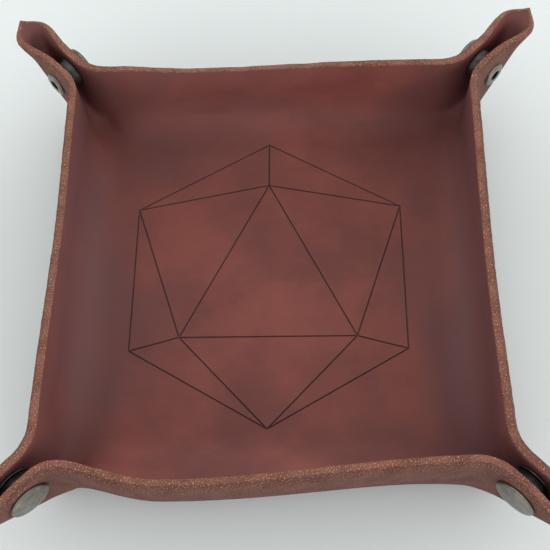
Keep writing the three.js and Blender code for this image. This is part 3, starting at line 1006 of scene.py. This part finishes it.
figure = figure_faces()
longest = max((face[k - 1] - face[k]).length for face in figure for k in range(3))
print(len(figure), "triangles; the longest line is", round(longest, 1), "mm")

# %% [markdown]
# The floor ends where the walls' pieces begin. It could be a flat plate. Half way along each wall,
# though, the soft bend already lifts the floor's margin a little, so its points go through the same
# formula as the walls, and its outline takes the points of the walls' lowest rows.

# %% Points of the floor
PLATE_HALF = FLOOR_HALF - BEND_HALF
MARGIN_ROWS = (71.5, 69.0, 66.5, 64.0)  # from the middle of the tray
MARGIN_STEP = 4
FIGURE_CLEARANCE = 2.0


def on_the_sides(half, step):
    """Points along the four sides of a square, as far apart as the walls' columns or a few of them."""
    line = half * np.linspace(-1, 1, WALL_COLUMNS + 1)[:-1:step]
    sides = [turned(np.stack([line, np.full_like(line, -half)], -1), k * math.pi / 2) for k in range(4)]
    return [Vector(point) for point in np.concatenate(sides)]


def floor_points(with_figure):
    """Points with their depths under the grain, and the edges that the surface has to keep."""
    points, edges = [], []

    def add_loop(loop, depth):
        first = len(points)
        points.extend((point, depth) for point in loop)
        edges.extend((first + k, first + (k + 1) % len(loop)) for k in range(len(loop)))

    add_loop(on_the_sides(PLATE_HALF, 1), 0)
    for half in MARGIN_ROWS:
        for point in on_the_sides(half, MARGIN_STEP):
            if (point - FIGURE_PLACE).length > FIGURE_RADIUS + FIGURE_CLEARANCE:
                points.append((point, 0))
    if with_figure:
        apothem = FIGURE_RADIUS * math.cos(math.pi / 6)
        for width, depth in ((LINE_WIDTH, 0), (GROOVE_FLOOR, LINE_DEPTH)):
            add_loop([FIGURE_PLACE + point * (1 + width / 2 / apothem) for point in outer], depth)
            for triangle in figure:
                add_loop([FIGURE_PLACE + point for point in shrunk(triangle, width / 2)], depth)
    return points, edges


print("the floor's grain side is drawn through", len(floor_points(True)[0]), "points")

# %% Floor mesh
JOIN_DISTANCE = 1e-5
HULL_TRIANGLES = 0  # what the triangulation gives back
GROOVE = len(FINISHES)  # the floor's extra finish


def on_floor(point):
    """Middle of the hide at a point of the floor and the way out of its grain, by the nearest wall."""
    wall = max(WALLS.values(), key=lambda shape: turned(np.array(point), -shape["turn"])[1])
    s, y = turned(np.array(point), -wall["turn"])
    middle, out, _ = hide_frame(np.array(s), np.array(y - FLOOR_HALF), wall)
    return turned(middle, wall["turn"]), turned(out, wall["turn"])


def floor_face(surface, side, with_figure):
    """Adds the grain (1) or flesh (-1) side of the floor, and gives the places along its outline."""
    points, edges = floor_points(with_figure)
    drawn = [point for point, _ in points]
    flats, _, triangles, origins, _, _ = delaunay_2d_cdt(drawn, edges, [], HULL_TRIANGLES, JOIN_DISTANCE)
    depths = [points[origin[0]][1] if origin else 0 for origin in origins]
    corners = []
    for flat, depth in zip(flats, depths):
        middle, out = on_floor(flat)
        corners.append((middle + out * (side * HIDE_THICKNESS / 2 - depth), side * out, flat[:]))
    for triangle in triangles:
        grooved = any(depths[k] > 0 for k in triangle)
        finish = FINISHES["grain"] if side > 0 else FINISHES["flesh"]
        around = [(corners[k][0], None if grooved else corners[k][1], corners[k][2]) for k in triangle]
        surface.face(around, (0, 0, side), GROOVE if grooved else finish)
    outline = len(on_the_sides(PLATE_HALF, 1))
    number = {origin[0]: k for k, origin in enumerate(origins) if origin and origin[0] < outline}
    return [corners[number[k]] for k in range(outline)]


def make_floor():
    surface = Surface()
    above = floor_face(surface, 1, True)
    below = floor_face(surface, -1, False)
    for k in range(len(above)):
        around = [above[k - 1], above[k], below[k], below[k - 1]]
        surface.face([(place, None, flat) for place, _, flat in around], above[k][0], FINISHES["edge"])
    piece = surface.build("floor_leather", [*HIDE_FINISHES, burnt_groove])
    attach(piece, "base")
    declare_hide(piece, "floor")


make_floor()

# %% [markdown]
# ## The ring snaps
#
# A ring snap has five metal pieces: a domed cap whose barrel goes through the leather, a socket clinched
# on that barrel, an open wire spring in the socket, a stud with a nub that the spring grips, and a hollow
# post that holds the stud to the other layer. All but the spring are turned shapes. Blender's Screw
# modifier would turn a profile too. Doing it in code keeps the closed mesh at hand, and each corner of
# the profile can be rounded first, since pressed metal has no sharp corners.

# %% Place of a snap
SNAP_PAST = 5.5  # past the floor's corner, along the hide
SNAP_UP = 26.5  # up the hide from the fold line
FACE = LAYER_GAP / 2  # grain face of either layer, from the middle of the pinch
OUTSIDE = FACE + HIDE_THICKNESS
SEAT_GAP = 0.3
UPRIGHT = Vector((0, 0, 1))


def snap_axes(corner):
    """Middle of a snap, the direction of its cap, and a level direction across it."""
    plain = {"flare": 0.0, "belly": 0.0, "peak": 0.0}
    ear = hide_point(np.array(FLOOR_HALF + SNAP_PAST), np.array(SNAP_UP), plain)
    level = (ear[0] + ear[1]) / 2
    centre = Vector((corner["x"] * level, corner["y"] * level, ear[2]))
    axis = Vector((-corner["x"], corner["y"], 0)) / ROOT2
    return centre, axis, Vector((corner["x"], corner["y"], 0)) / ROOT2


print("snap of the back right corner at", [round(x, 1) for x in snap_axes(CORNERS["back_right"])[0]])

# %% Turned shapes
TURN_SIDES = 64
ROUND_STEPS = 4
SIDE_SHARE = 2.2  # a rounded corner takes at most one part in this many of a side
ON_AXIS = 1e-6
SHARP_ANGLE = math.radians(40)


def rounded(profile, radius):
    """The profile with each corner that is off the axis replaced by a small curve."""
    points = [Vector(p) for p in profile]
    smooth = []
    for k, here in enumerate(points):
        if here.x < ON_AXIS:
            smooth.append(here)
            continue
        before, after = points[k - 1], points[(k + 1) % len(points)]
        reach = min(radius, (before - here).length / SIDE_SHARE, (after - here).length / SIDE_SHARE)
        first = here + (before - here).normalized() * reach
        last = here + (after - here).normalized() * reach
        for step in range(ROUND_STEPS + 1):
            t = step / ROUND_STEPS
            smooth.append(first * (1 - t) ** 2 + here * 2 * t * (1 - t) + last * t**2)
    return smooth


def finish_metal(name, points, faces, material):
    mesh = bpy.data.meshes.new(name)
    mesh.from_pydata(points, [], faces)
    mesh.validate()
    shape = bmesh.new()
    shape.from_mesh(mesh)
    bmesh.ops.recalc_face_normals(shape, faces=shape.faces)
    shape.to_mesh(mesh)
    shape.free()
    mesh.polygons.foreach_set("use_smooth", [True] * len(mesh.polygons))
    mesh.set_sharp_from_angle(angle=SHARP_ANGLE)
    mesh.materials.append(material)
    piece = bpy.data.objects.new(name, mesh)
    bpy.context.scene.collection.objects.link(piece)
    return piece


def lathe(name, profile, corner, material, eye=0.0):
    """Turns a closed profile of (radius, place along the snap) round a corner's snap.

    Faces nearer to the axis than its eye take a near black painted shade."""
    centre, axis, across = snap_axes(corner)
    points, faces, rings, in_eye = [], [], [], []
    for radius, along in profile:
        on_axis = radius < ON_AXIS
        ring = []
        for side in range(1 if on_axis else TURN_SIDES):
            angle = 2 * math.pi * side / TURN_SIDES
            outward = across * math.cos(angle) + UPRIGHT * math.sin(angle)
            ring.append(len(points))
            points.append((centre + axis * along + outward * radius) * MM)
        rings.append(ring * TURN_SIDES if on_axis else ring)
    for k, ring in enumerate(rings):
        before = rings[k - 1]
        for side in range(TURN_SIDES):
            after = (side + 1) % TURN_SIDES
            face = list(dict.fromkeys([before[side], before[after], ring[after], ring[side]]))
            if len(face) > 2:
                faces.append(face)
                in_eye.append(max(profile[k - 1][0], profile[k][0]) < eye)
    piece = finish_metal(name, points, faces, material)
    # Faces within the eye take the near black of painted shade.
    piece.data.materials.append(post_eye_painted_shade)
    piece.data.polygons.foreach_set("material_index", [int(dark) for dark in in_eye])
    return piece


def dress(piece, node, body):
    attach(piece, body)
    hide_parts(node)


def turn_snap_piece(kind, corner_name, half, profile, material, eye=0.0):
    piece = lathe(f"{kind}_{corner_name}_metal", profile, CORNERS[corner_name], material, eye)
    dress(piece, f"{kind}_{corner_name}", f"{half}_half_{corner_name}")


print("pieces are turned with", TURN_SIDES, "sides, and corners rounded in", ROUND_STEPS, "steps")

# %% [markdown]
# The cap is a shallow dome with its rim turned under. Its barrel goes down through the leather and the
# socket's floor and is spread out there. Part of a sphere could serve as the dome, but a pressed cap is
# flat in the middle and falls off near its rim, so its curve is half an ellipse that is made a little
# fuller.

# %% Caps
CAP_RADIUS = 7.5
CAP_DOME = 1.5
CAP_RIM = 0.7
CAP_ROUND = 0.35
CAP_HOLLOW = 0.2  # between the underside of the cap and its seat
RIM_INSIDE = 0.9  # how far in the turned-under rim reaches
RIM_FOOT = (0.5, 0.25)  # its lowest place, in from the edge and into the leather
DOME_START = (0.6, 0.5)  # where the dome goes on from the rim, in and up
DOME_STEPS = 12
DOME_FULLNESS = 0.9  # below 1 is fuller than an ellipse
BARREL_RADIUS = 1.9
CLINCH_RADIUS = 2.9
SOCKET_FLOOR = 0.8
CLINCH_HEIGHT = 0.5
CLINCH_SEAT = FACE - SEAT_GAP - SOCKET_FLOOR - SEAT_GAP
CLINCH_END = CLINCH_SEAT - CLINCH_HEIGHT
CAP_SEAT = OUTSIDE + SEAT_GAP


def cap_profile():
    top = CAP_SEAT + CAP_RIM
    outline = [
        (0, CLINCH_END),
        (CLINCH_RADIUS, CLINCH_END),
        (CLINCH_RADIUS, CLINCH_SEAT),
        (BARREL_RADIUS, CLINCH_SEAT),
        (BARREL_RADIUS, CAP_SEAT + CAP_HOLLOW),
        (CAP_RADIUS - RIM_INSIDE, CAP_SEAT + CAP_HOLLOW),
        (CAP_RADIUS - RIM_FOOT[0], CAP_SEAT - RIM_FOOT[1]),
        (CAP_RADIUS, CAP_SEAT),
        (CAP_RADIUS, top),
        (CAP_RADIUS - DOME_START[0], top + DOME_START[1]),
    ]
    profile = rounded(outline, CAP_ROUND)[: -ROUND_STEPS - 1]  # the dome takes the place of the last corner
    for step in range(1, DOME_STEPS + 1):
        angle = math.pi / 2 * step / DOME_STEPS
        radius = 0 if step == DOME_STEPS else CAP_RADIUS * math.cos(angle) ** DOME_FULLNESS
        profile.append(Vector((radius, top + CAP_DOME * math.sin(angle))))
    return profile


for corner_name in CORNERS:
    turn_snap_piece("cap", corner_name, "cap", cap_profile(), antique_nickel)
print("caps:", 2 * CAP_RADIUS, "mm across")

# %% [markdown]
# The socket is a shallow cup on the grain side with its lip turned in, and the spring lies behind that
# lip. Both show only when the tray is opened out, but then plainly, so they are as complete as the caps.
# The spring could be a curve with a round bevel. Its rings of points are placed here one by one, so that
# its ends can be rounded.

# %% Sockets and springs
SOCKET_RADIUS = 6.5
SOCKET_LIP = 0.6
NUB_RADIUS = 2.9
SPRING_WIRE = 0.8
SPRING_OPENING = 2.4
STUD_BASE = 0.8
STUD_FRONT = FACE - SEAT_GAP - STUD_BASE
SOCKET_FRONT = STUD_FRONT - SEAT_GAP
SOCKET_ROUND = 0.25
SPRING_RADIUS = NUB_RADIUS + SEAT_GAP + SPRING_WIRE / 2
SPRING_SIDES = 12
SPRING_STATIONS = 60
WIRE_END = 0.55  # thickness of the wire's rounded ends, as a share


def socket_profile():
    back = FACE - SEAT_GAP
    inside = back - SOCKET_FLOOR
    hole = BARREL_RADIUS + SEAT_GAP
    room = SPRING_RADIUS + SPRING_WIRE / 2 + SEAT_GAP
    mouth = NUB_RADIUS + 2 * SEAT_GAP
    outline = [
        (hole, back),
        (hole, inside),
        (room, inside),
        (room, -SOCKET_FRONT + SOCKET_LIP),
        (mouth, -SOCKET_FRONT + SOCKET_LIP),
        (mouth, -SOCKET_FRONT),
        (SOCKET_RADIUS - SOCKET_LIP, -SOCKET_FRONT),
        (SOCKET_RADIUS, inside),
        (SOCKET_RADIUS, back),
    ]
    return rounded(outline, SOCKET_ROUND)


def make_spring(name, corner):
    """An open ring of round wire, with rounded ends."""
    centre, axis, across = snap_axes(corner)
    along = -SOCKET_FRONT + SOCKET_LIP + SPRING_WIRE / 2 + SEAT_GAP
    half_gap = math.asin(SPRING_OPENING / 2 / SPRING_RADIUS)
    wire = SPRING_WIRE / 2
    turn = 2 * math.pi - 2 * half_gap
    stations = [(half_gap + turn * k / SPRING_STATIONS, wire) for k in range(SPRING_STATIONS + 1)]
    tip = wire / SPRING_RADIUS / 2
    for end in (0, -1):
        stations[end] = (stations[end][0], wire * WIRE_END)
    stations.insert(1, (half_gap + tip, wire))
    stations.insert(-1, (2 * math.pi - half_gap - tip, wire))
    points, faces = [], []
    for angle, thick in stations:
        outward = across * math.cos(angle) + UPRIGHT * math.sin(angle)
        for k in range(SPRING_SIDES):
            round_wire = 2 * math.pi * k / SPRING_SIDES
            out = SPRING_RADIUS + thick * math.cos(round_wire)
            points.append((centre + outward * out + axis * (along + thick * math.sin(round_wire))) * MM)
    for station in range(len(stations) - 1):
        for k in range(SPRING_SIDES):
            after = (k + 1) % SPRING_SIDES
            low, high = station * SPRING_SIDES, (station + 1) * SPRING_SIDES
            faces.append([low + k, low + after, high + after, high + k])
    faces.append(list(range(SPRING_SIDES)))
    faces.append(list(range(len(points) - SPRING_SIDES, len(points))))
    return finish_metal(name, points, faces, spring_wire)


# Each socket takes the darker nickel of painted shade.
for corner_name, corner in CORNERS.items():
    turn_snap_piece("socket", corner_name, "cap", socket_profile(), nickel_painted_shade)
    spring = make_spring(f"spring_{corner_name}_wire", corner)
    dress(spring, f"spring_{corner_name}", f"cap_half_{corner_name}")
print("sockets:", 2 * SOCKET_RADIUS, "mm across; springs of", SPRING_WIRE, "mm wire")

# %% [markdown]
# The stud sits on the other layer. Its nub is widest half way up, where the spring grips it. The post
# behind it is an eyelet: a tube whose outer end is rolled into a ring, so a dark hole shows in its
# middle. The hole could be a dark disc. A real bore keeps its depth from every side, and the faces in
# its eye are also painted near black, as painted shade.

# %% Studs and posts
STUD_RADIUS = 6.2
STUD_ROUND = 0.3
NUB_NECK = 2.5
NUB_TOP = CLINCH_END - SEAT_GAP
NUB_MIDDLE = (NUB_TOP - STUD_FRONT) / 2
POST_RADIUS = 5.0
POST_FLANGE = 1.1
POST_BORE = 1.5
POST_CREST = 3.3  # where the rolled ring stands highest
POST_FUNNEL = 1.2  # how deep its eye narrows to the bore
POST_EYE = 2.6  # radius within which it is dark
RING_STEPS = 8
RING_FULLNESS = 0.8  # below 1 is fuller than an ellipse


def stud_profile():
    back = -(FACE - SEAT_GAP)
    bore = BARREL_RADIUS + SEAT_GAP
    outline = [
        (0, NUB_MIDDLE),
        (bore, NUB_MIDDLE),
        (bore, back),
        (STUD_RADIUS, back),
        (STUD_RADIUS, -STUD_FRONT),
        (NUB_NECK, -STUD_FRONT),
        (NUB_RADIUS, NUB_MIDDLE),
        (NUB_NECK, NUB_TOP),
        (0, NUB_TOP),
    ]
    return rounded(outline, STUD_ROUND)


def post_profile():
    seat = -OUTSIDE - SEAT_GAP
    end = NUB_MIDDLE - SEAT_GAP
    profile = [Vector((POST_BORE, end))]
    angles = [math.pi / 2 * step / RING_STEPS for step in range(RING_STEPS + 1)]
    for angle in angles:
        radius = POST_CREST - (POST_CREST - POST_BORE) * math.cos(angle)
        profile.append(Vector((radius, seat - POST_FLANGE + POST_FUNNEL * (1 - math.sin(angle)))))
    for angle in angles[1:]:
        radius = POST_CREST + (POST_RADIUS - POST_CREST) * math.sin(angle)
        profile.append(Vector((radius, seat - POST_FLANGE * math.cos(angle) ** RING_FULLNESS)))
    profile.append(Vector((BARREL_RADIUS, seat)))
    profile.append(Vector((BARREL_RADIUS, end)))
    return profile


# Each stud takes the darker nickel of painted shade.
for corner_name in CORNERS:
    turn_snap_piece("stud", corner_name, "post", stud_profile(), nickel_painted_shade)
    turn_snap_piece("post", corner_name, "post", post_profile(), antique_nickel, POST_EYE)
print("studs:", 2 * STUD_RADIUS, "mm; posts:", 2 * POST_RADIUS, "mm")
